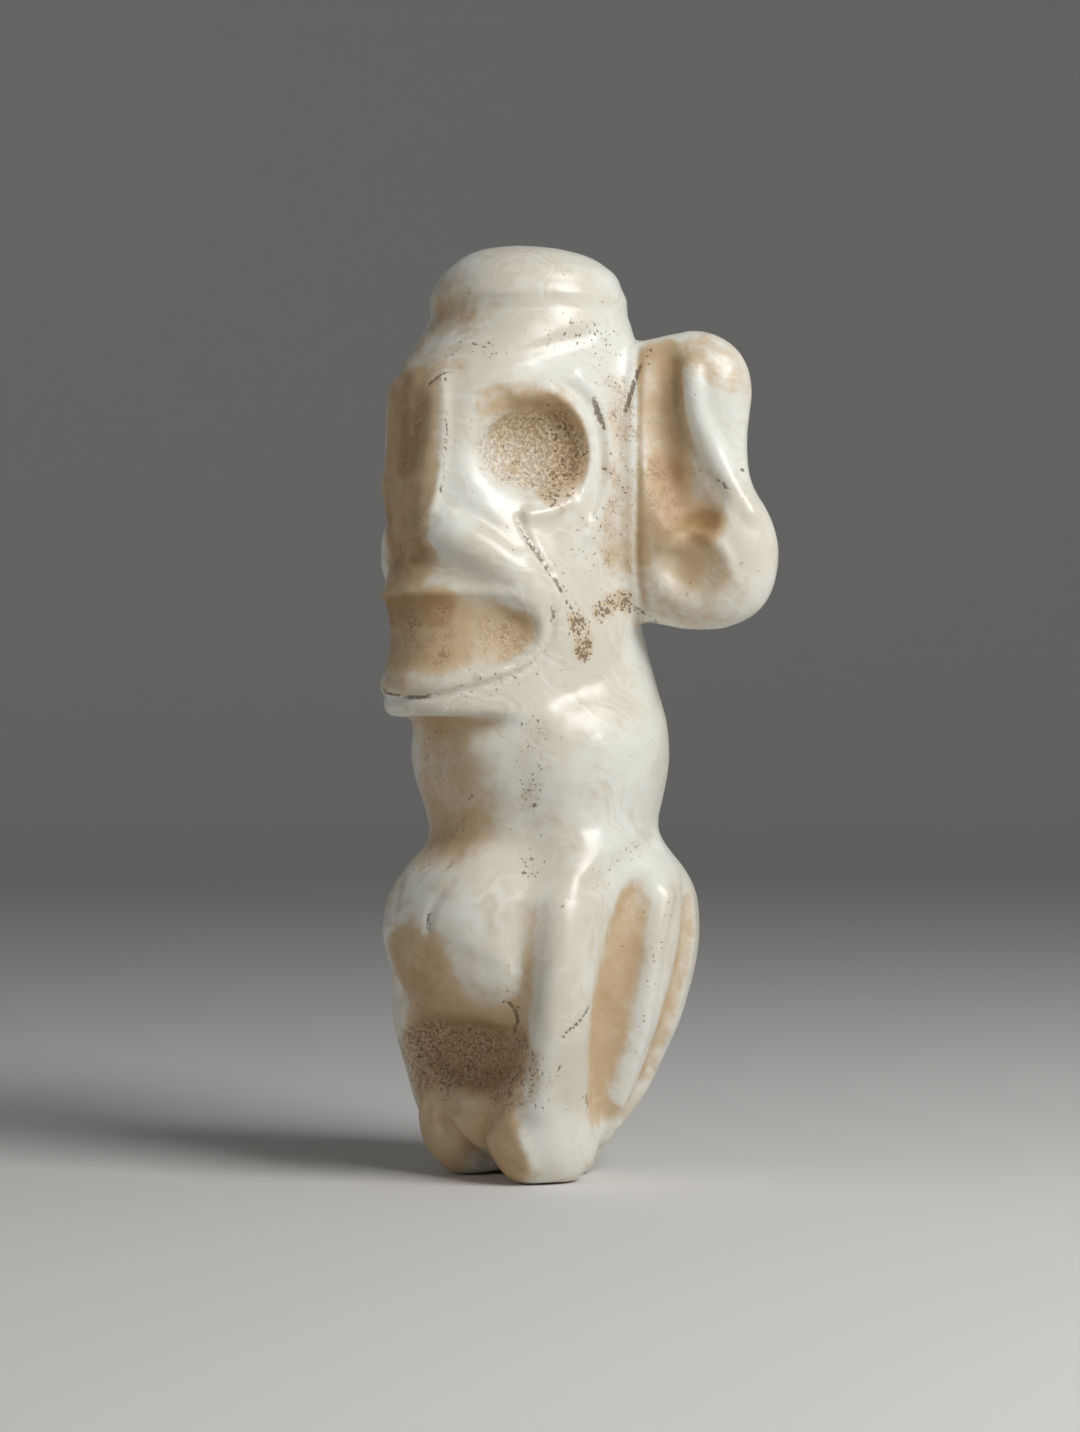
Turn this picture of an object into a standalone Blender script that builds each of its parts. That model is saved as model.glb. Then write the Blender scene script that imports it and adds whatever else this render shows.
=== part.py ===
"""A stone zemi: a crouched figure with a skull-like head, a cap, swept ears, a round belly and folded legs.

The real thing is carved from one piece of pale stone, so it is one object here. It faces -Y and stands on
the flat spots of its two feet and its rump. The carving is worked out the way a carver goes at a block:
rounded masses are melted together, hollows and grooves are pressed into them, and one skin is drawn over
the result.

Proportions are written in parts. The figure is 110 parts tall, and a part is one millimetre at its real size.
"""

import bmesh
import bpy
import numpy as np
from mathutils import Matrix

# Driving size, in metres
FIGURE_HEIGHT = 0.110
PARTS_TALL = 110
PART = FIGURE_HEIGHT / PARTS_TALL

# Main sizes, in parts
SHOULDER_RADIUS = 15.4
HEAD_BASE = 53.6
HEAD_HALF_WIDTH = 12.1
HEAD_HALF_DEPTH = 15.9
NOSE_HALF_WIDTH = 5.8
NOSE_HALF_DEPTH = 6.8

# Trunk, from the rump up to the neck. Rows: height, half width and half depth as shares of SHOULDER_RADIUS,
# middle, square, taper
TRUNK = (
    (-3.0, 0.195, 0.195, 1.2, 2.0, 0.0),
    (0.0, 0.3, 0.29, 1.6, 2.0, 0.0),
    (3.0, 0.42, 0.41, 1.8, 2.0, 0.0),
    (9.0, 0.669, 0.662, 2.8, 2.0, 0.0),
    (14.5, 0.799, 0.792, 3.8, 2.0, 0.0),
    (20.0, 0.909, 0.903, 4.5, 2.0, 0.0),
    (26.0, 0.987, 0.987, 4.8, 2.0, 0.0),
    (31.0, 0.994, 0.994, 4.9, 2.0, 0.0),
    (34.0, 0.974, 0.974, 4.6, 2.0, 0.0),
    (36.5, 0.935, 0.935, 3.6, 2.0, 0.0),
    (39.0, 0.89, 0.89, 1.8, 2.0, 0.0),
    (41.5, 0.877, 0.877, 0.6, 2.0, 0.0),
    (44.5, 0.929, 0.929, 0.3, 2.0, 0.0),
    (47.5, 0.981, 0.981, 0.1, 2.0, 0.0),
    (51.0, 1.0, 1.0, 0.0, 2.0, 0.0),
    (54.5, 0.955, 0.955, 0.3, 2.0, 0.0),
    (57.5, 0.857, 0.857, 1.0, 2.0, 0.0),
    (60.5, 0.818, 0.805, 1.0, 2.0, 0.0),
    (64.0, 0.792, 0.766, 0.5, 2.0, 0.0),
    (69.0, 0.753, 0.675, 0.0, 2.0, 0.0),
)

# Head and cap, from under the jaw up to the crown, in the same terms, with the heights above HEAD_BASE
HEAD = (
    (0.0, 0.985, 1.0, -5.5, 2.3, 0.24),
    (4.4, 1.0, 1.0, -5.5, 2.3, 0.24),
    (10.4, 1.0, 1.0, -5.5, 2.3, 0.24),
    (16.4, 0.99, 0.975, -5.3, 2.45, 0.24),
    (22.4, 0.992, 0.956, -4.7, 2.8, 0.24),
    (28.4, 0.992, 0.956, -4.5, 2.8, 0.24),
    (34.4, 0.992, 0.95, -4.4, 2.8, 0.24),
    (38.9, 1.0, 0.931, -4.3, 2.7, 0.22),
    (42.4, 1.0, 0.855, -3.6, 2.5, 0.16),
    (45.4, 1.0, 0.78, -2.1, 2.2, 0.05),
    (47.9, 0.959, 0.73, -1.7, 2.1, 0.0),
    (50.4, 0.959, 0.73, -2.0, 2.0, 0.0),
    (52.2, 0.901, 0.686, -1.9, 2.0, 0.0),
    (53.8, 0.777, 0.591, -1.8, 2.0, 0.0),
    (55.0, 0.636, 0.484, -2.1, 2.0, 0.0),
    (55.9, 0.38, 0.289, -2.9, 2.0, 0.0),
    (56.4, 0.083, 0.063, -3.2, 2.0, 0.0),
)

# Nose and the flat of the brow above it, in the same terms as the head
NOSE = (
    (20.4, 0.621, 0.794, -13.8, 4.0, 0.0),
    (23.9, 0.897, 0.941, -13.9, 5.0, 0.0),
    (26.9, 1.0, 1.0, -13.9, 5.0, 0.0),
    (32.4, 0.983, 0.897, -13.9, 5.0, 0.0),
    (38.9, 0.966, 0.838, -13.9, 5.0, 0.0),
    (41.9, 0.828, 0.618, -13.0, 4.0, 0.0),
)

# Face, in parts
FACE_REACH = 20.6
JAW_RISE = 37
EYE_HEIGHT = HEAD_BASE + 31.6
EYE_RADIUS = 5.8
EYE_DEPTH = 2.8
MOUTH_HEIGHT = HEAD_BASE + 10.0
MOUTH_HALF_HEIGHT = 5.0
MOUTH_CORNER = -9.6
MOUTH_DEPTH = 0.5
LIP_WIDTH = 2.0
LIP_RISE = 0.4

# Ears, in parts
EAR_ROOT = (12.0, 5.4)
EAR_SWEEP = 45
EAR_REACH = 8.4
EAR_MIDDLE = HEAD_BASE + 28.4
EAR_HALF_HEIGHT = 16.6
EAR_THICKNESS = 7.6
UPPER_LOBE_HEIGHT = HEAD_BASE + 38.7
UPPER_LOBE_RADIUS = 6.6
LOWER_LOBE_HEIGHT = HEAD_BASE + 19.4
LOWER_LOBE_RADIUS = 7.8
DIMPLE_RADIUS = 4.2

# Belly, legs and feet, in parts
BELLY_RADIUS = 10.8
BELLY_HEIGHT = 29.0
HOLLOW_HEIGHT = 16.0
SHIN_RADIUS = 4.0
FOOT_SPREAD = 6.5
FOOT_RADIUS = 4.6

# Mesh, in parts
SKIN_SIZES = (1.2, 0.9)
SKIN_PULLS = 6
LONGEST_PULL = 0.6
CULL = 4.0
TRIANGLES = 9400


def smooth_path(points, steps=5):
    """More points on a smooth curve through the given ones."""
    knots = [np.array(point, float) for point in points]
    knots = [2 * knots[0] - knots[1]] + knots + [2 * knots[-1] - knots[-2]]
    path = []
    for before, start, end, after in zip(knots, knots[1:], knots[2:], knots[3:]):
        for step in range(steps):
            t = step / steps
            bend = 2 * start + (end - before) * t
            bend += (2 * before - 5 * start + 4 * end - after) * t**2
            bend += (3 * start - before - 3 * end + after) * t**3
            path.append(bend / 2)
    return np.array(path + [knots[-2]])


def squared_reach(shares, sizes, square):
    """How far out the points lie, 1 on the surface, and how fast that grows."""
    shares = np.abs(shares)
    reach = (shares**square).sum(0) ** (1 / square)
    slope = np.sqrt(((shares ** (square - 1) / sizes) ** 2).sum(0))
    slope = np.maximum(slope * np.maximum(reach, 1e-6) ** (1 - square), 1e-6)
    return reach, slope


def add_ball(mesh, around, down, side):
    """The points of a new ball of radius 1, turned inside out if it's to be mirrored."""
    made = bmesh.ops.create_uvsphere(mesh, u_segments=around, v_segments=down, radius=1)
    if side < 0:
        faces = {face for vert in made["verts"] for face in vert.link_faces}
        bmesh.ops.reverse_faces(mesh, faces=list(faces))
    return made["verts"]


class Mass:
    """A rounded mass: an ellipsoid, squarer as square rises above 2. turn swings it about Z, in degrees."""

    def __init__(self, centre, radii, square=2.0, turn=0.0, lean=0.0):
        self.centre = np.array(centre, float)
        self.radii = np.array(radii, float)
        self.square = square
        swing = Matrix.Rotation(np.radians(turn), 3, "Z") @ Matrix.Rotation(np.radians(lean), 3, "X")
        self.axes = np.array(swing)
        spread = np.abs(self.axes) @ self.radii
        self.low = self.centre - spread
        self.high = self.centre + spread

    def distance(self, points):
        shares = (points - self.centre) @ self.axes / self.radii
        reach, slope = squared_reach(shares.T, self.radii[:, None], self.square)
        return (reach - 1) / slope

    def block_out(self, mesh, side):
        """Adds this mass to a mesh as a ball with its points moved onto it."""
        for vert in add_ball(mesh, 28, 20, side):
            share = np.array(vert.co)
            share /= (np.abs(share) ** self.square).sum() ** (1 / self.square)
            vert.co = (self.centre + self.axes @ (share * self.radii)) * (side, 1, 1)


class Loft:
    """A tall mass through rows of: height, half width, half depth, middle, square, taper.

    The heights count from base, and the halves are shares of wide and deep. A row's outline is an ellipse,
    squarer as square rises above 2, and narrower in front by its taper.
    """

    def __init__(self, rows, base, wide, deep):
        path = smooth_path(rows) * (1, wide, deep, 1, 1, 1)
        self.heights = base + path[:, 0]
        self.rows = path[:, 1:]
        self.lean = np.gradient(path[:, 1:3].mean(1), self.heights)
        span = path[:, 1].max() * 1.4
        self.low = np.array((-span, (path[:, 3] - path[:, 2]).min(), self.heights[0]))
        self.high = np.array((span, (path[:, 3] + path[:, 2]).max(), self.heights[-1]))

    def block_out(self, mesh, side):
        """Adds this mass to a mesh as a ball with its points moved onto it."""
        for vert in add_ball(mesh, 40, 72, side):
            height = np.interp(vert.co.z, (-1, 1), (self.heights[0], self.heights[-1]))
            width, depth, middle, square, taper = [np.interp(height, self.heights, row) for row in self.rows.T]
            share = np.array(vert.co.xy)
            share /= max((np.abs(share) ** square).sum() ** (1 / square), 1e-6)
            vert.co = (side * width * (1 + taper * share[1]) * share[0], middle + depth * share[1], height)

    def distance(self, points):
        x, y, z = points.T
        width, depth, middle, square, taper = [np.interp(z, self.heights, row) for row in self.rows.T]
        forward = (y - middle) / depth
        width = width * (1 + taper * np.clip(forward, -1.2, 1.2))
        reach, slope = squared_reach(np.stack((x / width, forward)), np.stack((width, depth)), square)
        side = (reach - 1) / slope / np.hypot(1, np.interp(z, self.heights, self.lean))
        return np.maximum(side, np.maximum(self.heights[0] - z, z - self.heights[-1]))


class Rod:
    """A round rod along a smooth path. Its radius runs evenly through the given radii."""

    def __init__(self, points, radii):
        self.path = smooth_path(points, 3)
        places = np.linspace(0, 1, len(self.path))
        self.radii = np.interp(places, np.linspace(0, 1, len(radii)), radii)
        self.low = self.path.min(0) - max(radii)
        self.high = self.path.max(0) + max(radii)

    def block_out(self, mesh, side):
        """Adds this rod to a mesh as a row of balls."""
        for point, radius in zip(self.path, self.radii):
            for vert in add_ball(mesh, 14, 10, side):
                vert.co = (point + np.array(vert.co) * radius) * (side, 1, 1)

    def distance(self, points):
        nearest = np.full(len(points), np.inf)
        for start, end, thick, thin in zip(self.path, self.path[1:], self.radii, self.radii[1:]):
            along = end - start
            t = np.clip((points - start) @ along / (along @ along), 0, 1)
            gap = np.linalg.norm(points - start - t[:, None] * along, axis=1)
            nearest = np.minimum(nearest, gap - thick - t * (thin - thick))
        return nearest


class Plane:
    """Everything below a plane through a point, which rises to the rear by an angle in degrees."""

    def __init__(self, point, rise):
        self.point = np.array(point, float)
        self.normal = np.array((0, -np.sin(np.radians(rise)), np.cos(np.radians(rise))))
        self.low = np.full(3, -1e3)
        self.high = np.full(3, 1e3)

    def distance(self, points):
        return (points - self.point) @ self.normal


class Rim:
    """A band of the given width on each side of a shape's surface."""

    def __init__(self, shape, width):
        self.shape = shape
        self.width = width
        self.low = shape.low - width
        self.high = shape.high + width

    def distance(self, points):
        return np.abs(self.shape.distance(points)) - self.width


def melt(one, other, width):
    """The union of two distances, with a fillet of that width where they meet."""
    share = np.maximum(width - np.abs(one - other), 0) / width
    return np.minimum(one, other) - share**3 * width / 6


class Stone:
    """The block as it is worked. Each step works on the midline, or on both sides alike."""

    def __init__(self):
        self.steps = []

    def add(self, shape, soft=2.0, both=False):
        """Adds a shape, melted in over a soft width."""
        self.steps.append(("add", shape, soft, 0.0, both))

    def cut(self, shape, soft=1.0, both=False):
        """Cuts a shape away, with its edge rounded over a soft width."""
        self.steps.append(("cut", shape, soft, 0.0, both))

    def press(self, shape, depth, soft=1.0, both=False):
        """Presses the skin in by depth inside a shape, easing in over a soft width. Below 0 it raises it."""
        self.steps.append(("press", shape, soft, depth, both))

    def distance(self, points):
        folded = points.copy()
        folded[:, 0] = np.abs(points[:, 0])
        stone = np.full(len(points), 1e2)
        for kind, shape, soft, depth, both in self.steps:
            places = folded if both else points
            margin = max(soft, CULL)
            near = ((places > shape.low - margin) & (places < shape.high + margin)).all(1)
            other = shape.distance(places[near])
            if kind == "add":
                stone[near] = melt(stone[near], other, soft)
            elif kind == "cut":
                stone[near] = -melt(-stone[near], other, soft)
            else:
                share = np.clip(-other / soft, 0, 1)
                stone[near] += depth * share**2 * (3 - 2 * share)
        return stone

    def blocked_out(self):
        """One mesh of all that is added, not yet melted together."""
        mesh = bmesh.new()
        for kind, shape, _, _, both in self.steps:
            if kind == "add":
                for side in (1, -1) if both else (1,):
                    shape.block_out(mesh, side)
        data = bpy.data.meshes.new("zemi")
        mesh.to_mesh(data)
        mesh.free()
        return data


def carve_head(stone):
    """Head with its cap, cut off under the jaw, then the nose and the folds beside it."""
    stone.add(Loft(HEAD, HEAD_BASE, HEAD_HALF_WIDTH, HEAD_HALF_DEPTH), soft=1)
    throat = (0, -10.5, HEAD_BASE + 0.6)
    stone.cut(Plane(throat, JAW_RISE), soft=2)
    stone.cut(Plane(throat, 0), soft=2)
    stone.add(Loft(NOSE, HEAD_BASE, NOSE_HALF_WIDTH, NOSE_HALF_DEPTH), soft=1.2)
    stone.add(Mass((3.4, -18.2, HEAD_BASE + 22.4), (2.6, 2.6, 2.6)), soft=2, both=True)
    fold = [(4.4, -17.6, 22.0), (6.6, -15.4, 20.4), (8.8, -11.4, 18.0), (9.8, -8.2, 15.0), (10.4, -6.2, 10.4)]
    fold = [(x, y, HEAD_BASE + z) for x, y, z in fold]
    stone.add(Rod(fold, (1.6, 2.6, 3.0, 2.8, 1.8)), soft=4, both=True)


def carve_body(stone):
    """Trunk with the hunched shoulders and the hips, and the block between the legs."""
    stone.add(Loft(TRUNK, 0, SHOULDER_RADIUS, SHOULDER_RADIUS), soft=2.5)
    stone.add(Mass((0, -5.2, 34.4), (10.4, 9.0, 7.0)), soft=4)
    stone.add(Mass((0, -3.8, 16), (12.0, 7.6, 11.0), square=2.4), soft=3)


def carve_legs(stone):
    """Each leg: a shin that flows down from the waist and turns in to the foot."""
    shin = [(10.4, -2.4, 38), (11.9, -6.2, 31), (12.0, -7.4, 24), (11.4, -7.6, 18), (8.8, -7.2, 12.5)]
    shin.append((FOOT_SPREAD, -6.6, 7))
    stone.add(Rod(shin, (SHIN_RADIUS, SHIN_RADIUS, SHIN_RADIUS, SHIN_RADIUS + 0.8)), soft=5, both=True)
    foot = (FOOT_RADIUS, FOOT_RADIUS + 1.9, FOOT_RADIUS + 1.2)
    stone.add(Mass((FOOT_SPREAD, -4.6, 4.8), foot, turn=-18), soft=4, both=True)
    stone.add(Mass((0, -7.4, 7.6), (6.0, 4.6, 4.2)), soft=2.5)


def cut_legs(stone):
    """The hollow between the legs, the grooves along them and the gap between the feet."""
    stone.cut(Mass((0, -15.2, HOLLOW_HEIGHT), (9.6, 7.0, 6.6), square=2.4), soft=3)
    calf = [(14.2, 2.8, 35), (15.3, 0.4, 27), (14.8, -0.8, 18), (13.0, 0.0, 12), (11.4, 1.2, 8)]
    stone.press(Rod(calf, (2.8, 4.2, 4.2, 3.4, 2.4)), 2.0, soft=4.2, both=True)
    seat = [(12.8, 10.8, 34), (13.6, 10.0, 26), (12.9, 8.6, 19), (10.6, 7.0, 12), (8.4, 5.0, 6)]
    stone.press(Rod(seat, (1.6, 2.4, 2.4, 2.0, 1.4)), 1.2, soft=2.4, both=True)
    stone.cut(Rod([(-3.2, -13.4, 8.6), (-1.6, -10.6, 3), (0, -5, -0.5)], (0.7, 1.3, 1.8)), soft=1.6)


def carve_belly(stone):
    """The belly over the hollow, with a groove between it and each thigh."""
    belly = (BELLY_RADIUS, BELLY_RADIUS - 1.2, BELLY_RADIUS - 1.8)
    stone.add(Mass((0, -10.2, BELLY_HEIGHT), belly, square=2.4), soft=9)
    groin = [(10.2, -12.4, 31), (10.6, -11.8, 26), (10.2, -11.0, 20), (9.4, -10.6, 14)]
    stone.press(Rod(groin, (2.2, 3.0, 3.0, 2.4)), 0.9, soft=3.0, both=True)


def cut_head(stone):
    """Eye sockets, nostrils and mouth."""
    depth = FACE_REACH + MOUTH_CORNER
    mouth = Mass((0, -FACE_REACH - 2, MOUTH_HEIGHT), (1e3, depth + 2, MOUTH_HALF_HEIGHT), square=2.5)
    stone.press(Rim(mouth, LIP_WIDTH), -LIP_RISE, soft=LIP_WIDTH)
    stone.press(mouth, MOUTH_DEPTH, soft=1.2)
    side = HEAD_HALF_WIDTH - 0.7
    socket = Mass((side, -9.6, EYE_HEIGHT), (EYE_DEPTH + 2, EYE_RADIUS + 1.2, EYE_RADIUS), turn=-33)
    stone.cut(socket, soft=2.2, both=True)
    stone.press(Mass((3.0, -FACE_REACH, HEAD_BASE + 19.0), (2.6, 2.6, 1.7)), 0.8, soft=1.4, both=True)


def carve_ears(stone):
    """Each ear: a thick flange swept out and back, with an upper and a lower lobe."""
    turn = EAR_SWEEP
    half = EAR_THICKNESS / 2
    root = np.array(EAR_ROOT)
    outward = np.array((np.cos(np.radians(turn)), np.sin(np.radians(turn))))
    face = np.array((outward[1], -outward[0])) * half

    def inside(out, height):
        return (*(root + outward * out), height)

    def on_face(out, height):
        return (*(root + outward * out + face), height)

    flange = (EAR_REACH + 1.0, half, EAR_HALF_HEIGHT)
    stone.add(Mass(inside(3.0, EAR_MIDDLE), flange, square=2.7, turn=turn), soft=2, both=True)
    upper = (UPPER_LOBE_RADIUS, half + 0.4, UPPER_LOBE_RADIUS + 0.7)
    stone.add(Mass(inside(EAR_REACH - 1.9, UPPER_LOBE_HEIGHT), upper, turn=turn), soft=2.5, both=True)
    lower = (LOWER_LOBE_RADIUS, half + 0.6, LOWER_LOBE_RADIUS + 0.6)
    stone.add(Mass(inside(EAR_REACH, LOWER_LOBE_HEIGHT), lower, square=2.2, turn=turn), soft=5, both=True)
    hollow = [(3.2, 13.5), (3.2, 6.0), (4.6, 0.0), (6.2, -3.4)]
    hollow = [on_face(out, EAR_MIDDLE + rise) for out, rise in hollow]
    stone.press(Rod(hollow, (2.6, 3.4, 4.0, 4.2)), 2.2, soft=2.4, both=True)
    dimple = Mass(on_face(EAR_REACH - 2.2, LOWER_LOBE_HEIGHT - 1.6), np.full(3, DIMPLE_RADIUS), turn=turn)
    stone.press(dimple, 1.2, soft=2.6, both=True)


def carve_figure():
    stone = Stone()
    carve_head(stone)
    carve_body(stone)
    carve_legs(stone)
    cut_legs(stone)
    carve_belly(stone)
    cut_head(stone)
    carve_ears(stone)
    return stone


def clear_scene():
    for item in list(bpy.data.objects):
        bpy.data.objects.remove(item)


def points_of(data):
    points = np.empty(len(data.vertices) * 3, np.float32)
    data.vertices.foreach_get("co", points)
    return points.reshape(-1, 3).astype(float)


def relax(data, points):
    """Points moved halfway to the middle of their neighbours."""
    edges = np.empty(len(data.edges) * 2, np.int32)
    data.edges.foreach_get("vertices", edges)
    start, end = edges.reshape(-1, 2).T
    middles = np.zeros_like(points)
    np.add.at(middles, start, points[end])
    np.add.at(middles, end, points[start])
    counts = np.bincount(edges, minlength=len(points))
    return (points + middles / counts[:, None]) / 2


def draw_skin(data, stone, pulls, even=True):
    """Draws the mesh tight over the carved stone, a little at a time."""
    points = points_of(data)
    nudge = 0.02
    for _ in range(pulls):
        if even:
            points = relax(data, points)
        here = stone.distance(points)
        slope = [(stone.distance(points + step) - here) / nudge for step in np.eye(3) * nudge]
        slope = np.stack(slope, 1)
        steep = np.maximum((slope**2).sum(1), 0.3)
        pull = np.clip(here / steep, -LONGEST_PULL, LONGEST_PULL)
        points -= slope * pull[:, None]
    data.vertices.foreach_set("co", points.astype(np.float32).ravel())
    data.update()


def with_modifier(data, kind, **settings):
    """The mesh that a modifier makes of data."""
    holder = bpy.data.objects.new("holder", data)
    bpy.context.scene.collection.objects.link(holder)
    modifier = holder.modifiers.new(kind, kind)
    for name, value in settings.items():
        setattr(modifier, name, value)
    graph = bpy.context.evaluated_depsgraph_get()
    made = bpy.data.meshes.new_from_object(holder.evaluated_get(graph))
    bpy.data.objects.remove(holder)
    bpy.data.meshes.remove(data)
    return made


def flatten_soles(data):
    """Cuts the feet and the rump flat where they stand, and closes the cuts."""
    mesh = bmesh.new()
    mesh.from_mesh(data)
    every = list(mesh.verts) + list(mesh.edges) + list(mesh.faces)
    cut = bmesh.ops.bisect_plane(mesh, geom=every, plane_co=(0, 0, 0), plane_no=(0, 0, -1), clear_outer=True)
    rim = [item for item in cut["geom_cut"] if isinstance(item, bmesh.types.BMEdge)]
    bmesh.ops.holes_fill(mesh, edges=rim, sides=0)
    bmesh.ops.dissolve_degenerate(mesh, dist=0.04, edges=mesh.edges)
    bmesh.ops.triangulate(mesh, faces=mesh.faces)
    mesh.to_mesh(data)
    mesh.free()


def stand_in_middle(data):
    """Puts the middle of the figure's own box over the origin, in metres."""
    points = points_of(data)
    middle = (points.min(0) + points.max(0)) / 2
    data.transform(Matrix.Scale(PART, 4) @ Matrix.Translation((-middle[0], -middle[1], 0)))


def stone_material():
    material = bpy.data.materials.new("pale_stone")
    material.use_nodes = True
    shader = material.node_tree.nodes["Principled BSDF"]
    shader.inputs["Base Color"].default_value = (0.72, 0.66, 0.55, 1)
    shader.inputs["Roughness"].default_value = 0.35
    shader.inputs["Metallic"].default_value = 0.0
    return material


def build():
    clear_scene()
    stone = carve_figure()
    data = stone.blocked_out()
    for size in SKIN_SIZES:
        data = with_modifier(data, "REMESH", mode="VOXEL", voxel_size=size)
        draw_skin(data, stone, SKIN_PULLS)
    data = with_modifier(data, "TRIANGULATE")
    ratio = min(1.0, TRIANGLES / len(data.polygons))
    data = with_modifier(data, "DECIMATE", ratio=ratio)
    draw_skin(data, stone, 1, even=False)
    flatten_soles(data)
    stand_in_middle(data)
    data.name = "zemi"
    data.materials.append(stone_material())
    collection = bpy.data.collections.new("stone_zemi")
    bpy.context.scene.collection.children.link(collection)
    figure = bpy.data.objects.new("zemi", data)
    collection.objects.link(figure)
    data.shade_smooth()
    data.set_sharp_from_angle(angle=np.radians(50))


build()
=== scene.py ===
import bpy
import numpy as np
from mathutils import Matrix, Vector, noise
from mathutils.bvhtree import BVHTree


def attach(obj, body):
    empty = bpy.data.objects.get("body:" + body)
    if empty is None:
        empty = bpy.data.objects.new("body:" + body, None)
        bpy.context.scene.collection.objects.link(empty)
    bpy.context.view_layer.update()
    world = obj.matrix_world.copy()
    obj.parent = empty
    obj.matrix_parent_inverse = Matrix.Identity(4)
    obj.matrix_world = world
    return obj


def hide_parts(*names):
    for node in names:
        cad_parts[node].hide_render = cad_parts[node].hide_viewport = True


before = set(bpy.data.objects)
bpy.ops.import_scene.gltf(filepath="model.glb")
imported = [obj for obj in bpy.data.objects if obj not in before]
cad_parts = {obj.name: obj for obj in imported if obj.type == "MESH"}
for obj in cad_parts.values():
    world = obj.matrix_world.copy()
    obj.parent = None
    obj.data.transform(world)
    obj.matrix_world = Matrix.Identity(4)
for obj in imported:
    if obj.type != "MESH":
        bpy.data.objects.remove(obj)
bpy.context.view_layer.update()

# The camera. It stands level with the middle of the figure and well round to its left, and its long lens
# keeps the figure's sides nearly parallel.
turn = np.radians(50)
distance = 0.4255
eye_level = 0.0544
lens, sensor = 90, 36
axis = Vector((0, 0.00073, 0))
toward_camera = Vector((np.sin(turn), -np.cos(turn), 0))
camera_right = Vector((np.cos(turn), np.sin(turn), 0))
bpy.ops.object.camera_add(location=axis + toward_camera * distance + Vector((0, 0, eye_level)))
camera = bpy.context.active_object
camera.rotation_euler = (-toward_camera).to_track_quat("-Z", "Y").to_euler()
camera.data.lens = lens
camera.data.sensor_width = sensor
camera.data.clip_start = 0.01
bpy.context.scene.camera = camera

# The figure. It is one piece of pale, waxy stone, carved all round and rubbed smooth, so that its forms run
# into each other. Its skin here is drawn over the solid, fine enough to take the carver's smaller marks.
bpy.ops.object.select_all(action="DESELECT")
figure = bpy.data.objects.new("carved_stone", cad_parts["zemi"].data.copy())
bpy.context.scene.collection.objects.link(figure)
figure.data.materials.clear()
bpy.context.view_layer.objects.active = figure
figure.select_set(True)
bpy.ops.object.mode_set(mode="EDIT")
bpy.ops.mesh.select_all(action="SELECT")
bpy.ops.mesh.remove_doubles(threshold=1e-6)
bpy.ops.object.mode_set(mode="OBJECT")


def finish_with(kind, **settings):
    """Gives the figure a modifier and makes it part of its mesh."""
    modifier = figure.modifiers.new(kind, kind)
    for name, value in settings.items():
        setattr(modifier, name, value)
    bpy.ops.object.modifier_apply(modifier=modifier.name)


finish_with("SUBSURF", levels=2, render_levels=2)
smooth_skin = BVHTree.FromObject(figure, bpy.context.evaluated_depsgraph_get())
finish_with("REMESH", mode="VOXEL", voxel_size=0.00044)

MM = 0.001


def points_of(data):
    """The mesh's points, in millimetres."""
    flat = np.empty(len(data.vertices) * 3, np.float32)
    data.vertices.foreach_get("co", flat)
    return flat.reshape(-1, 3).astype(float) / MM


def outward(data):
    """The direction that each point faces."""
    flat = np.empty(len(data.vertices) * 3, np.float32)
    data.vertices.foreach_get("normal", flat)
    return flat.reshape(-1, 3).astype(float)


def put(points):
    """Moves the mesh's points to these places, in millimetres."""
    figure.data.vertices.foreach_set("co", (points * MM).astype(np.float32).ravel())
    figure.data.update()


links = np.empty(len(figure.data.edges) * 2, np.int32)
figure.data.edges.foreach_get("vertices", links)
one_end, other_end = links.reshape(-1, 2).T
neighbours = np.bincount(links, minlength=len(figure.data.vertices))


def rubbed(values, rounds, share=1.0):
    """Values at the points, each brought towards its neighbours' mean by a share, a number of rounds."""
    for _ in range(rounds):
        sums = np.empty_like(values)
        for column in range(values.shape[1]):
            there = np.bincount(one_end, values[other_end, column], len(values))
            back = np.bincount(other_end, values[one_end, column], len(values))
            sums[:, column] = there + back
        values = values + (sums / neighbours[:, None] - values) * share
    return values


# The fine skin is laid on the smooth one, and the steps of its grid are rubbed away.
skin = np.array([smooth_skin.find_nearest(Vector(point) * MM)[0] for point in points_of(figure.data)]) / MM
skin = rubbed(skin, 8, 0.6)
put(skin)
faces_out = outward(figure.data)


picture_middle = 540, 716
picture_pixel = sensor / lens / 1432


def on_skin(spot):
    """Where a spot lies on the stone, in millimetres. Two numbers are a place in the picture, which is 1080
    by 1432, and three are a point near the skin.
    """
    if len(spot) == 3:
        return np.array(smooth_skin.find_nearest(Vector(spot) * MM)[0]) / MM
    across = (spot[0] - picture_middle[0]) * picture_pixel
    down = (spot[1] - picture_middle[1]) * picture_pixel
    sight = (camera_right * across - Vector((0, 0, down)) - toward_camera).normalized()
    start = camera.location
    hit = smooth_skin.ray_cast(start, sight)[0]
    if hit is None:
        hit = smooth_skin.find_nearest(start + sight * distance)[0]
    return np.array(hit) / MM


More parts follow.
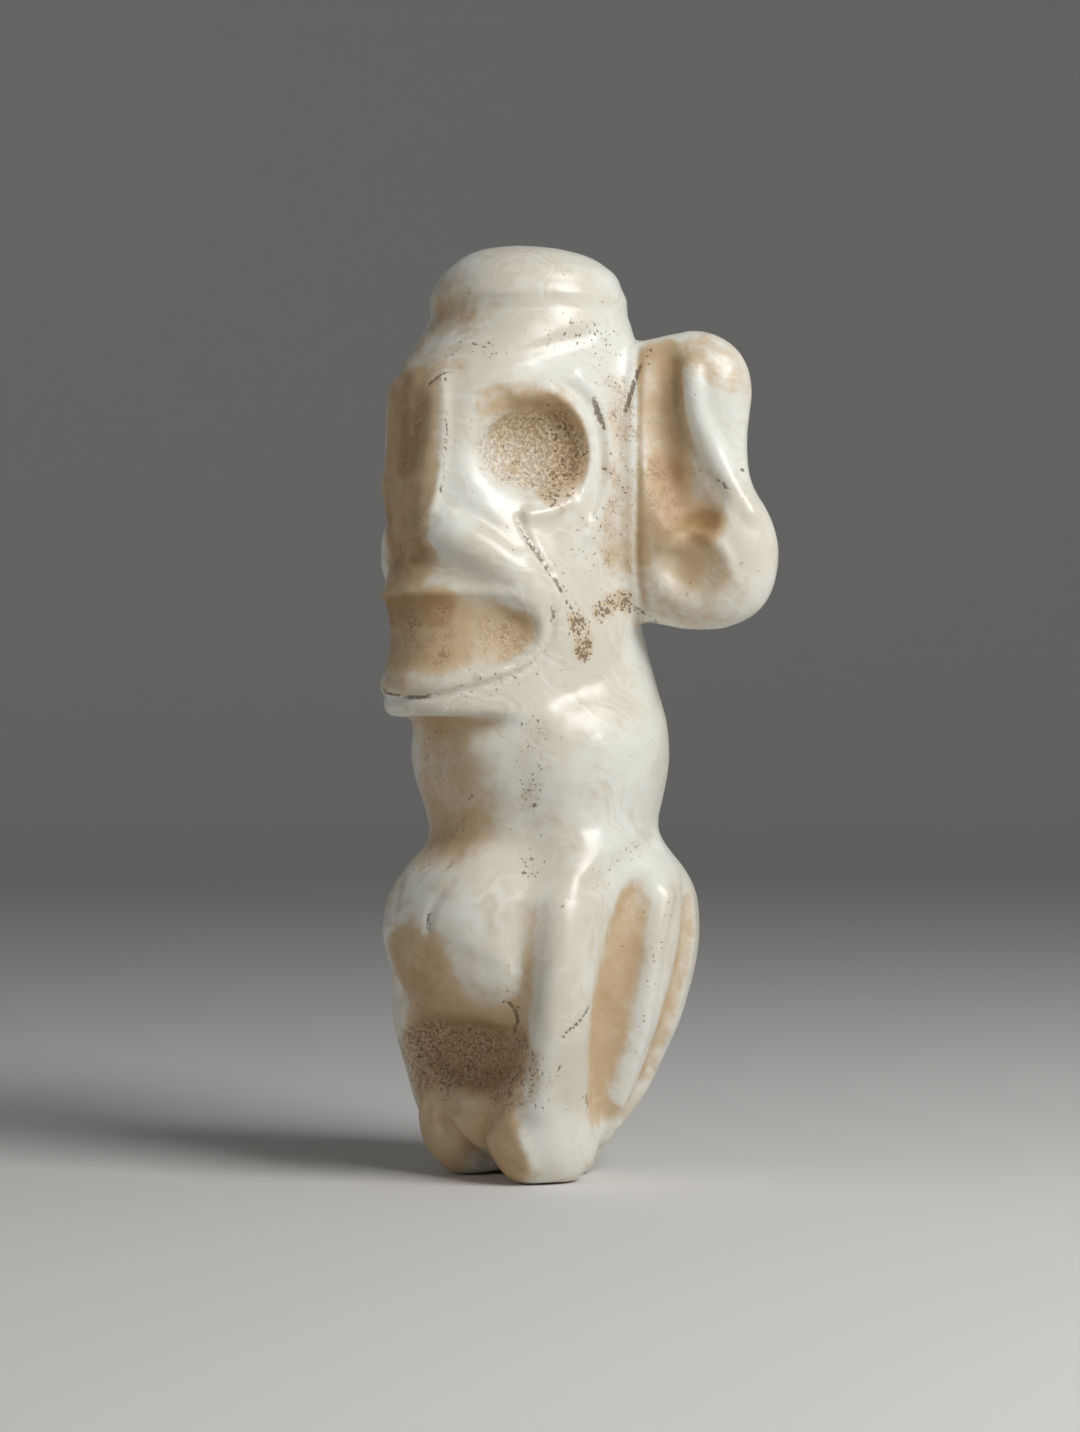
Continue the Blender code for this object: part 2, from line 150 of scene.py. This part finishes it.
def mark(spots, widths, both=True):
    """How near each point of the skin is to a line of spots: 1 on the line, and 0 at its width, which is in
    millimetres. The line is smooth, its width runs evenly through the given ones, and both marks it on both
    sides.
    """
    knots = [on_skin(spot) for spot in spots]
    if both:
        knots = [knot * ((1, 1, 1) if knot[0] > 0 else (-1, 1, 1)) for knot in knots]
    knots = [knots[0]] + knots + [knots[-1]]
    line = []
    for before, start, end, after in zip(knots, knots[1:], knots[2:], knots[3:]):
        for t in (0, 0.25, 0.5, 0.75):
            bend = 2 * start + (end - before) * t + (2 * before - 5 * start + 4 * end - after) * t**2
            line.append((bend + (3 * start - before - 3 * end + after) * t**3) / 2)
    line = np.array(line + [knots[-2]])
    places = skin.copy()
    if both:
        places[:, 0] = np.abs(places[:, 0])
    widths = np.atleast_1d(widths).astype(float)
    reach = np.interp(np.linspace(0, 1, len(line)), np.linspace(0, 1, len(widths)), widths)
    near = ((places > line.min(0) - widths.max()) & (places < line.max(0) + widths.max())).all(1)
    close = places[near]
    share = np.full(len(close), np.inf)
    for start, end, wide, narrow in zip(line, line[1:], reach, reach[1:]):
        along = end - start
        t = np.clip((close - start) @ along / max(along @ along, 1e-9), 0, 1)
        gap = np.linalg.norm(close - start - t[:, None] * along, axis=1)
        share = np.minimum(share, gap / (wide + t * (narrow - wide)))
    marked = np.zeros(len(places))
    marked[near] = np.clip(1 - share, 0, 1)
    return marked


def ease(share):
    """Rises gently from 0 and settles gently at 1."""
    share = np.clip(share, 0, 1)
    return share**2 * (3 - 2 * share)


def patch(*areas):
    """Soft-edged patches of the skin. Each is its strength, its width in millimetres and its line of spots,
    and is at full strength over the inner two fifths of its width.
    """
    patched = np.zeros(len(skin))
    for strength, width, spots in areas:
        patched = np.maximum(patched, strength * ease(mark(spots, width) * 1.7))
    return patched


def carve(*cuts):
    """Works grooves into the skin. Each is its depth and width in millimetres, and its line of spots. A
    depth below 0 is a ridge, left standing while the stone beside it was ground away.
    """
    for depth, width, spots in cuts:
        skin[:] -= faces_out * (depth * ease(mark(spots, width)))[:, None]


# The forms run out softly where hands have rubbed them most: in front of each socket, and on the belly.
soft = patch((1, 3.4, [(492, 405), (478, 440), (484, 480), (510, 500)]), (1, 4.0, [(440, 960), (490, 985)]))
skin += (rubbed(skin, 40) - skin) * soft[:, None]

# The cap. It is a low drum on top of the head, of the same stone, with faint ridges left round its side
# where it was ground. Each ring is its height and depth.
for height, depth in ((101.6, 0.1), (103.4, -0.12), (105.0, 0.1), (106.6, -0.08)):
    ring = np.clip(1 - np.abs(skin[:, 2] - height) / 0.9, 0, 1) * (skin[:, 2] > 99)
    skin -= faces_out * (depth * ease(ring))[:, None]

# The brow and nose. A soft crease parts the cap from the brow, and the brow's flat front is dished, with an
# edge beside it. Below it a fold of cheek runs from the wing of the nose round the corner of the mouth.
carve(
    (0.25, 1.4, [(422, 378), (452, 367), (500, 359), (545, 346), (590, 334)]),
    (-0.15, 2.6, [(430, 345), (490, 330), (560, 318)]),
    (0.4, 3.0, [(398, 410), (402, 460)]),
    (-0.22, 0.9, [(443, 372), (445, 417), (442, 469), (430, 512)]),
    (0.3, 1.4, [(432, 520), (418, 535), (414, 556)]),
    (-0.7, 3.8, [(456, 538), (478, 551), (504, 569), (524, 588), (538, 602)]),
    (0.2, 1.8, [(466, 512), (490, 525), (514, 547)]),
)

# The far cheek is worn flatter than the near one, and browner.
far_cheek = ease(mark([(-6, -19.5, 77), (-6.6, -18.8, 74.6), (-7.6, -17.6, 72.6)], 4.4, both=False) * 1.3)
skin -= faces_out * (0.9 * far_cheek)[:, None]

# The eyes. Each is a round socket with a pitted floor. It is shallow in front, where it runs out on the
# cheek, and steep behind, where two fine rings are cut round it. A small plate is left standing below it.
carve(
    (0.35, 2.4, [(556, 420), (568, 445), (566, 475)]),
    (-0.3, 0.8, [(552, 392), (574, 408), (588, 435), (590, 470), (578, 505)]),
    (0.3, 0.7, [(566, 384), (588, 404), (599, 436), (600, 478), (590, 514)]),
    (-0.3, 0.9, [(580, 378), (602, 408), (610, 450), (606, 498), (588, 538)]),
    (-0.5, 1.3, [(529, 515), (550, 512), (570, 503)]),
    (0.35, 0.8, [(519, 517), (530, 540), (545, 563), (552, 574)]),
)

# The mouth. It is a wide shallow trough that runs right round the muzzle, with a crisp upper lip, a rounded
# lower one, and a fine line cut outside them.
lip_edge = [(400, 592), (447, 591), (500, 592), (528, 600), (542, 620), (540, 646), (522, 663), (480, 676)]
carve(
    (0.4, 4.4, [(0, -22, 63.4), (400, 636), (450, 636), (496, 634)]),
    (-0.3, 1.0, lip_edge),
    (-0.15, 1.6, [(0, -22, 57.6), (400, 688), (450, 684), (500, 672)]),
    (0.35, 0.7, [(549, 600), (553, 625), (547, 646), (530, 667), (484, 685), (440, 695), (400, 698)]),
)

# The ears. Each is a thick flange with a straight front edge, a long hollow down its face and a lobe above
# and below, parted by an S-shaped ridge. The lower lobe has a round dimple.
carve(
    (0.22, 0.8, [(638, 350), (638, 420), (637, 500), (637, 570), (643, 604)]),
    (-0.5, 2.0, [(690, 372), (694, 405), (708, 438), (734, 484), (752, 512)]),
    (0.25, 3.2, [(664, 380), (668, 450), (686, 508)]),
    (0.3, 1.4, [(676, 366), (680, 410), (694, 452), (722, 496)]),
    (0.5, 3.2, [(674, 564), (680, 570)]),
    (-0.2, 1.2, [(662, 545), (690, 532), (722, 548), (736, 580)]),
)

# The trunk and belly. Long shallow ripples run down the chest, and a crease parts the hip from the waist.
# The belly has a faint crease on it and a groove beside it.
carve(
    (0.25, 5.0, [(438, 750), (430, 800), (440, 850)]),
    (-0.2, 4.0, [(480, 750), (470, 800), (478, 860)]),
    (0.15, 3.4, [(528, 735), (524, 800), (532, 870)]),
    (0.5, 2.4, [(655, 842), (622, 864), (592, 888)]),
    (0.12, 1.2, [(450, 882), (434, 903), (428, 932)]),
    (0.45, 2.4, [(529, 915), (533, 960), (530, 1002)]),
    (-0.12, 1.6, [(600, 745), (575, 775), (560, 815)]),
    (0.12, 1.4, [(640, 760), (610, 790), (590, 830)]),
)

# The legs. A deep groove and a shallow one run down each leg with a ridge between them, and the hollow
# between the legs ends in a soft lip above the feet.
hollow = [(0, -7.8, 14.6), (4, -8.2, 14.4), (8.5, -9.6, 14)]
carve(
    (-0.4, 2.8, [(562, 905), (558, 960), (553, 1010), (547, 1060), (540, 1110)]),
    (0.6, 4.2, [(636, 905), (624, 960), (612, 1020), (602, 1080), (598, 1108)]),
    (-0.6, 2.0, [(668, 895), (654, 955), (642, 1030), (624, 1090), (606, 1136)]),
    (0.6, 1.8, [(690, 905), (683, 960), (667, 1020), (645, 1080), (622, 1118)]),
    (0.3, 5.0, [(0, -7.8, 14.6), (4, -8.2, 14.4), (7, -9, 14)]),
    (-0.35, 1.8, [(0, -10.4, 9.4), (500, 1088), (524, 1050)]),
    (0.25, 0.9, [(465, 1111), (500, 1114)]),
    (0.7, 1.3, [(440, 1116), (465, 1141), (490, 1164)]),
    (-0.3, 1.6, [(508, 1118), (524, 1150), (530, 1168)]),
)

# Cracks. The stone has split under the eye and along the jaw, and shallow breaks have lost their edges.
# Each is a line of spots with its width in millimetres.
cracks = np.zeros(len(skin))
for width, spots in (
    ((0.5, 0.9, 0.7), [(518, 516), (528, 538), (540, 556), (552, 574)]),
    ((0.6, 0.4), [(555, 580), (562, 592)]),
    ((0.5, 0.8, 0.5), [(592, 396), (598, 411), (604, 428)]),
    (0.5, [(640, 364), (632, 388), (625, 412)]),
    (0.45, [(428, 384), (442, 373), (458, 366)]),
    (0.45, [(536, 350), (552, 344)]),
    (0.4, [(445, 378), (446, 417), (444, 462), (440, 492)]),
    ((0.6, 0.5, 0.4, 0.5), [(384, 690), (400, 697), (440, 695), (484, 686), (522, 672)]),
    (0.5, [(530, 667), (547, 648), (553, 626), (551, 606)]),
    (0.45, [(590, 1006), (580, 1022), (566, 1034), (552, 1044), (543, 1038)]),
    (0.4, [(536, 1066), (550, 1077), (560, 1066)]),
    (0.8, [(588, 1098), (592, 1108)]),
    (0.5, [(508, 1002), (518, 1018), (514, 1032)]),
    (0.5, [(428, 914), (427, 932)]),
    (0.45, [(700, 470), (722, 484), (742, 498)]),
    (0.45, [(724, 466), (744, 470)]),
    ((0.4, 0.5, 0.35), [(-12, -5, 85), (-12.4, -3.4, 82.4), (-12.2, -3, 80), (-12, -1, 77)]),
    ((0.35, 0.5, 0.35), [(-11, 4, 19), (-12.4, 3, 22), (-12.6, 3.4, 24), (-13, 2, 28)]),
    ((0.3, 0.45, 0.3), [(5, 17, 39), (4.2, 18, 37.4), (4.4, 18, 36), (3, 19, 34)]),
):
    cracks = np.maximum(cracks, mark(spots, width, both=False))
skin -= faces_out * (0.14 * ease(cracks))[:, None]

# Rubbed by hand, the skin is never quite even: it wanders by a tenth of a millimetre or so.
wander = np.array([noise.fractal(Vector(point) * 0.14, 1.0, 2.2, 4) for point in skin])
skin += faces_out * (wander * 0.12)[:, None]
skin[:, 2] = np.maximum(skin[:, 2], 0)
put(skin)

# Hollows hold dirt, so the finish reads how far each point lies below its wider surroundings.
faces_out = outward(figure.data)
sunken = np.clip(((rubbed(skin, 60) - skin) * faces_out).sum(1) / 0.5, -1, 1)


def keep(name, values):
    """Stores a number for each point of the skin, for the stone's finish to read."""
    layer = figure.data.attributes.new(name, "FLOAT", "POINT")
    layer.data.foreach_set("value", np.asarray(values, np.float32))


def drift(size, seed=0.0):
    """Slow clouds over the skin, size millimetres wide, mostly from -0.5 to 0.5."""
    offset = Vector((seed, seed * 1.7, seed * 0.6))
    return np.array([noise.fractal(Vector(point) / size + offset, 0.9, 2.1, 5) for point in skin]) * 0.75


# Stains and painted light. Brown earth has soaked into the hollows, and hardly into the ridges that hands
# have
# polished. Painted shade is added on top: on the faces turned to the front, on the undersides, on the fronts
# of the brow, nose, cap, chest and lower belly, and between the feet. The ridges are lightened both for
# their polish and as painted highlight. A strength of 0.5 is tan, and 1 is dark brown.
# The faces turned to the figure's front face away from the lamp, and are darkened here as painted shade.
front_shade = ease((-faces_out[:, 1] - 0.45) / 0.5)
# The faces turned down are darkened as painted shade.
underside_shade = ease(-faces_out[:, 2] / 0.8)
broad = drift(9.0, 12.0)
small = drift(2.6, 5.0)
stain_and_painted_light = patch(
    (0.5, 3.2, [(550, 404), (568, 430), (570, 466), (554, 496)]),
    # Painted shade on the lower front of the belly, where it turns under into the hollow.
    (0.42, 7.4, [(0, -18.6, 26), (0, -16, 22), (6, -12.6, 20.6)]),
    (0.28, 5.5, [(520, 440), (540, 465)]),
    (0.38, 2.6, [(488, 402), (520, 396), (548, 402)]),
    # The front of the brow and nose: brown stain and painted shade, as it faces away from the lamp.
    (0.44, 3.6, [(421, 385), (421, 470), (408, 530), (396, 575)]),
    (0.6, 6.0, [(0, -22, 91), (0, -22, 84), (0, -22, 74)]),
    (0.74, 3.6, [(0, -22, 88), (0, -22, 84)]),
    (0.52, 6.0, [(0, -22, 63.4), (400, 636), (446, 636)]),
    (0.42, 4.7, [(400, 636), (450, 636), (500, 634), (510, 632)]),
    (0.72, 3.4, [(0, -22, 66.5), (400, 610), (440, 610)]),
    (0.46, 3.8, [(662, 356), (664, 450), (668, 524)]),
    (0.46, 1.2, [(644, 356), (644, 450), (644, 560)]),
    (0.78, 3.6, [(664, 470), (668, 510), (676, 524), (704, 528)]),
    (0.22, 8.0, [(690, 560), (715, 580)]),
    (0.34, 4.0, [(700, 350), (728, 372)]),
    (0.28, 3.0, [(530, 925), (534, 995)]),
    (0.72, 8.0, hollow),
    (0.42, 5.0, [(634, 912), (624, 970), (612, 1040), (602, 1100)]),
    (0.34, 2.6, [(690, 905), (683, 960), (668, 1020), (650, 1070)]),
    # Painted shade in the gap between the feet and on the far foot.
    (0.44, 5.6, [(430, 1112), (480, 1125), (498, 1160)]),
    # Painted shade on the fronts of the cap and chest, which face away from the lamp.
    (0.2, 9.0, [(0, -22, 104), (0, -22, 99), (0, -22, 95)]),
    (0.26, 8.0, [(0, -22, 51), (0, -22, 44), (0, -22, 38)]),
    (0.35, 2.0, [(576, 622), (584, 636), (584, 650)]),
    (0.32, 1.8, [(600, 612), (612, 602), (622, 600)]),
    (0.06, 2.4, [(530, 722), (530, 760), (528, 800)]),
    (0.22, 3.0, [(618, 390), (622, 470), (616, 560)]),
)
# The ridges are lightened both for their polish and as painted highlight.
polish_and_highlight = patch(
    (0.5, 4.2, [(456, 536), (478, 549), (504, 567), (524, 586)]),
    (0.3, 2.4, [(536, 606), (546, 636), (532, 660)]),
    (0.3, 2.4, [(458, 400), (452, 445), (454, 490)]),
    (0.3, 2.6, [(694, 405), (708, 438), (734, 484), (756, 530)]),
    (0.5, 4.0, [(562, 905), (558, 960), (553, 1010), (547, 1060), (540, 1110)]),
    (0.4, 2.4, [(668, 895), (654, 955), (642, 1030), (624, 1090)]),
    (0.36, 5.0, [(430, 900), (470, 900), (496, 940), (486, 985)]),
    (0.2, 6.0, [(530, 730), (534, 790), (536, 850), (516, 890)]),
    (0.2, 6.0, [(470, 250), (520, 300), (560, 300)]),
    (0.4, 3.0, [(400, 710), (460, 708), (520, 690)]),
)
stain_and_painted_light += far_cheek * 0.4 - polish_and_highlight
# The front and underside terms here are painted shade. The sunken term is dirt in the hollows, and the
# drifts vary the tone at random.
stain_and_painted_light += front_shade * 0.24 + underside_shade * 0.3 + sunken * 0.12 + broad * 0.18 + small * 0.14
keep("stain_and_painted_light", stain_and_painted_light)
keep("cloud", drift(15.0, 9.0) + 0.5)

# Wear. Where the polish is lost, in the sockets, the hollow and the mouth, the bare stone shows its grain.
worn = patch(
    (0.9, 7.0, [(505, 452), (545, 456)]),
    (0.56, 7.4, hollow),
    (0.35, 4.0, [(655, 470), (665, 520)]),
    (0.4, 5.4, [(0, -22, 63.4), (400, 636), (450, 636), (500, 634)]),
    (0.35, 4.4, [(0, -22, 88), (0, -22, 76), (410, 520)]),
    (0.4, 3.5, [(620, 390), (624, 470), (620, 560)]),
    (0.3, 3.0, [(532, 740), (530, 800), (532, 870)]),
)
keep("worn", worn + small * 0.35)

# Pits. A few are sprinkled everywhere, and they crowd in the sockets, the hollow and the breaks on the jaw.
pitted = 0.2 + patch(
    (0.5, 3.0, [(552, 416), (568, 440), (568, 475), (556, 496)]),
    (0.25, 6.0, [(510, 450), (540, 470)]),
    (0.4, 7.4, hollow),
    (0.75, 2.2, [(576, 622), (584, 636), (584, 650)]),
    (0.75, 1.8, [(600, 612), (612, 602), (622, 600)]),
    (0.55, 1.4, [(622, 602), (636, 612), (650, 620)]),
    (0.6, 1.2, [(562, 590), (568, 606), (574, 618)]),
    (0.34, 2.4, [(534, 722), (530, 800), (532, 880)]),
    (0.2, 4.0, [(440, 730), (436, 800), (440, 860)]),
    (0.26, 3.0, [(560, 330), (610, 340), (640, 350)]),
    (0.22, 2.4, [(600, 520), (560, 560), (600, 560)]),
    (0.22, 2.4, [(640, 845), (600, 880), (570, 900)]),
    (0.3, 2.0, [(450, 352), (470, 345), (500, 350)]),
    (0.25, 3.0, [(606, 360), (616, 420), (616, 520)]),
    (0.3, 1.2, [(668, 905), (655, 960), (640, 1020)]),
    (0.3, 2.0, [(505, 1000), (520, 1020)]),
    (0.25, 2.0, [(430, 700), (470, 692), (530, 672)]),
    (0.3, 2.0, [(586, 1095), (592, 1110)]),
)
keep("pitted", pitted + small * 0.18)
keep("crack", cracks)

# Growth lines. The stone grew in thin layers, and they show as wisps that flow round its forms.
layers = 0.8 * skin[:, 2] + 0.5 * skin[:, 1] + drift(26.0, 3.0) * 16
keep("layers", layers)


class Signal:
    """A value on its way between shader nodes. Arithmetic on it adds Math nodes."""

    def __init__(self, socket):
        self.socket = socket

    def __add__(self, other):
        return add_node("ShaderNodeMath", {"operation": "ADD"}, {0: self, 1: other})

    def __sub__(self, other):
        return add_node("ShaderNodeMath", {"operation": "SUBTRACT"}, {0: self, 1: other})

    def __rsub__(self, other):
        return add_node("ShaderNodeMath", {"operation": "SUBTRACT"}, {0: other, 1: self})

    def __mul__(self, other):
        return add_node("ShaderNodeMath", {"operation": "MULTIPLY"}, {0: self, 1: other})

    __radd__ = __add__
    __rmul__ = __mul__


def add_node(kind, settings=None, sockets=None, out=0):
    """A shader node with its settings, then its sockets' values or links. Returns one of its outputs."""
    node = stone.node_tree.nodes.new(kind)
    for name, value in (settings or {}).items():
        setattr(node, name, value)
    for name, value in (sockets or {}).items():
        if isinstance(value, Signal):
            stone.node_tree.links.new(value.socket, node.inputs[name])
        else:
            node.inputs[name].default_value = value
    if out is not None:
        return Signal(node.outputs[out])


stone = bpy.data.materials.new("waxy_stone")
stone.use_nodes = True
stone.node_tree.nodes.clear()
place = add_node("ShaderNodeTexCoord", out=3)
place = add_node("ShaderNodeVectorMath", {"operation": "SCALE"}, {0: place, 3: 1000.0})


def clouds(scale, detail, out=0):
    """Random clouds from 0 to 1, scale of them to the millimetre."""
    sockets = {"Vector": place, "Scale": scale, "Detail": detail, "Roughness": 0.6}
    return add_node("ShaderNodeTexNoise", {}, sockets, out)


def stepped(value, low, high):
    """0 at low, 1 at high, and eased between."""
    sockets = {"Value": value, "From Min": low, "From Max": high}
    return add_node("ShaderNodeMapRange", {"interpolation_type": "SMOOTHSTEP"}, sockets)


def tinted(share, one, other):
    """One colour turned into the other by a share."""
    one, other = [(*colour, 1) if isinstance(colour, tuple) else colour for colour in (one, other)]
    return add_node("ShaderNodeMix", {"data_type": "RGBA"}, {0: share, 6: one, 7: other}, 2)


def held(name):
    """One of the numbers stored on the skin."""
    return add_node("ShaderNodeAttribute", {"attribute_name": name}, {}, 2)


# The stone itself is white to cream, clouded, with wisps of growth lines that fade in and out.
white, cream = (0.75, 0.745, 0.67), (0.67, 0.63, 0.53)
dull_layer, bright_layer = (0.52, 0.44, 0.31), (0.84, 0.84, 0.8)
fine = clouds(0.8, 3)
grit = clouds(2.4, 2)
wisps = {"W": held("layers"), "Scale": 0.8, "Detail": 2}
wisps = add_node("ShaderNodeTexNoise", {"noise_dimensions": "1D"}, wisps) + (fine - 0.5) * 0.25
colour = tinted(stepped(held("cloud") + (fine - 0.5) * 0.4, 0.25, 0.75), white, cream)
fading = stepped(clouds(0.2, 2), 0.38, 0.62)
colour = tinted(stepped(wisps, 0.48, 0.75) * fading * 0.22, colour, dull_layer)
colour = tinted(stepped(wisps, 0.5, 0.3) * fading * 0.26, colour, bright_layer)

# The stain and the painted shade in it are tan where they are weak and brown where they are strong, with
# ragged edges.
tan, brown = (0.56, 0.41, 0.245), (0.37, 0.215, 0.095)
soaked_and_painted_light = held("stain_and_painted_light") + (fine - 0.5) * 0.35 + (grit - 0.5) * 0.12 + (wisps - 0.5) * 0.12
colour = tinted(stepped(soaked_and_painted_light, 0.05, 0.6), colour, tan)
colour = tinted(stepped(soaked_and_painted_light, 0.5, 1.15), colour, brown)

# Bare grain shows as pale crumbs with earth between them.
earth, crumb = (0.24, 0.135, 0.065), (0.74, 0.67, 0.53)
bare = stepped(held("worn") + (fine - 0.5) * 0.6, 0.2, 0.75)
crumbs = stepped(grit, 0.44, 0.58)
gaps = (1 - crumbs) * bare
colour = tinted(gaps * 0.42, colour, earth)
colour = tinted(bare * crumbs * 0.3, colour, crumb)

# Pits are dark specks of uneven size, and the cracks are as dark.
pit_dark, crack_dark = (0.16, 0.095, 0.05), (0.15, 0.105, 0.07)
bent = add_node("ShaderNodeVectorMath", {"operation": "SCALE"}, {0: clouds(1.6, 1, 1), 3: 1.1})
bent = add_node("ShaderNodeVectorMath", {"operation": "ADD"}, {0: place, 1: bent})
cells = {"Vector": bent, "Scale": 2.0}
chosen = (held("pitted") - add_node("ShaderNodeTexVoronoi", {}, cells, 1)) * 0.8
pits = stepped(chosen - add_node("ShaderNodeTexVoronoi", {}, cells, 0) + 0.1, 0.0, 0.12)
split = stepped(held("crack") + (grit - 0.5) * 1.1, 0.4, 0.75)
colour = tinted(pits * 0.75, colour, pit_dark)
colour = tinted(split * 0.8, colour, crack_dark)

# The white stone is glossiest, and stain with its painted shade, bare grain and fine scratches take the
# gloss away.
rough = stepped(soaked_and_painted_light, 0.1, 0.9) * 0.2 + bare * 0.2 + fine * 0.12 + 0.24
height = fine * 0.1 + wisps * 0.06 - gaps * 0.3 - pits * 0.8 - split * 0.8
bump = add_node("ShaderNodeBump", {}, {"Strength": 0.8, "Distance": 0.0002, "Height": height})
finish = {"Base Color": colour, "Roughness": rough, "Normal": bump, "IOR": 1.5}
shader = add_node("ShaderNodeBsdfPrincipled", {}, finish)
add_node("ShaderNodeOutputMaterial", {}, {"Surface": shader}, None)
figure.data.materials.append(stone)
bpy.ops.object.shade_smooth()
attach(figure, "root")
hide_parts("zemi")

# The floor. It is a plain pale sheet, flat under the figure and curved up all round into a low wall, so that
# no edge shows behind the figure from any side.
flat_radius = 0.8
curve_radius = 0.5
curve_step = 7.5
bpy.ops.object.select_all(action="DESELECT")
bpy.ops.mesh.primitive_circle_add(vertices=96, radius=flat_radius, fill_type="NGON")
floor = bpy.context.active_object
floor.name = "floor"
bpy.ops.object.mode_set(mode="EDIT")
bpy.ops.mesh.select_mode(type="EDGE")
bpy.ops.mesh.select_all(action="SELECT")
reach, rise = flat_radius, 0.0
for slope in np.radians(np.arange(curve_step, 91, curve_step)):
    wider, higher = flat_radius + curve_radius * np.sin(slope), curve_radius * (1 - np.cos(slope))
    bpy.ops.mesh.extrude_edges_move(TRANSFORM_OT_translate={"value": (0, 0, higher - rise)})
    bpy.ops.transform.resize(value=(wider / reach, wider / reach, 1), center_override=(0, 0, higher))
    reach, rise = wider, higher
bpy.ops.mesh.select_all(action="SELECT")
bpy.ops.mesh.normals_make_consistent(inside=True)
bpy.ops.object.mode_set(mode="OBJECT")
bpy.ops.object.shade_smooth()
paper = bpy.data.materials.new("pale_paper")
paper.use_nodes = True
paper.node_tree.nodes["Principled BSDF"].inputs["Base Color"].default_value = (0.72, 0.71, 0.69, 1)
paper.node_tree.nodes["Principled BSDF"].inputs["Roughness"].default_value = 0.85
floor.data.materials.append(paper)

# The lights. They are soft square studio lights, a strong one high on the camera's right and a weak one low
# on its left, in an evenly grey room. Each is its place across, near and up, its size and its power.
lit_spot = Vector((0, 0, 0.06))
for across, near, up, size, power in ((0.3, 0.27, 0.34, 0.26, 2.25), (-0.42, 0.22, 0.14, 0.3, 0.24)):
    stand = camera_right * across + toward_camera * near + Vector((0, 0, up))
    sight = lit_spot - stand
    aim = sight.to_track_quat("-Z", "Y").to_euler()
    bpy.ops.object.light_add(type="AREA", location=stand, rotation=aim)
    light = bpy.context.active_object.data
    light.size = size
    light.energy = power
studio = bpy.data.worlds.new("studio")
studio.use_nodes = True
studio.node_tree.nodes["Background"].inputs["Color"].default_value = (1, 1, 1, 1)
studio.node_tree.nodes["Background"].inputs["Strength"].default_value = 0.1
bpy.context.scene.world = studio
bpy.context.scene.view_settings.view_transform = "Standard"
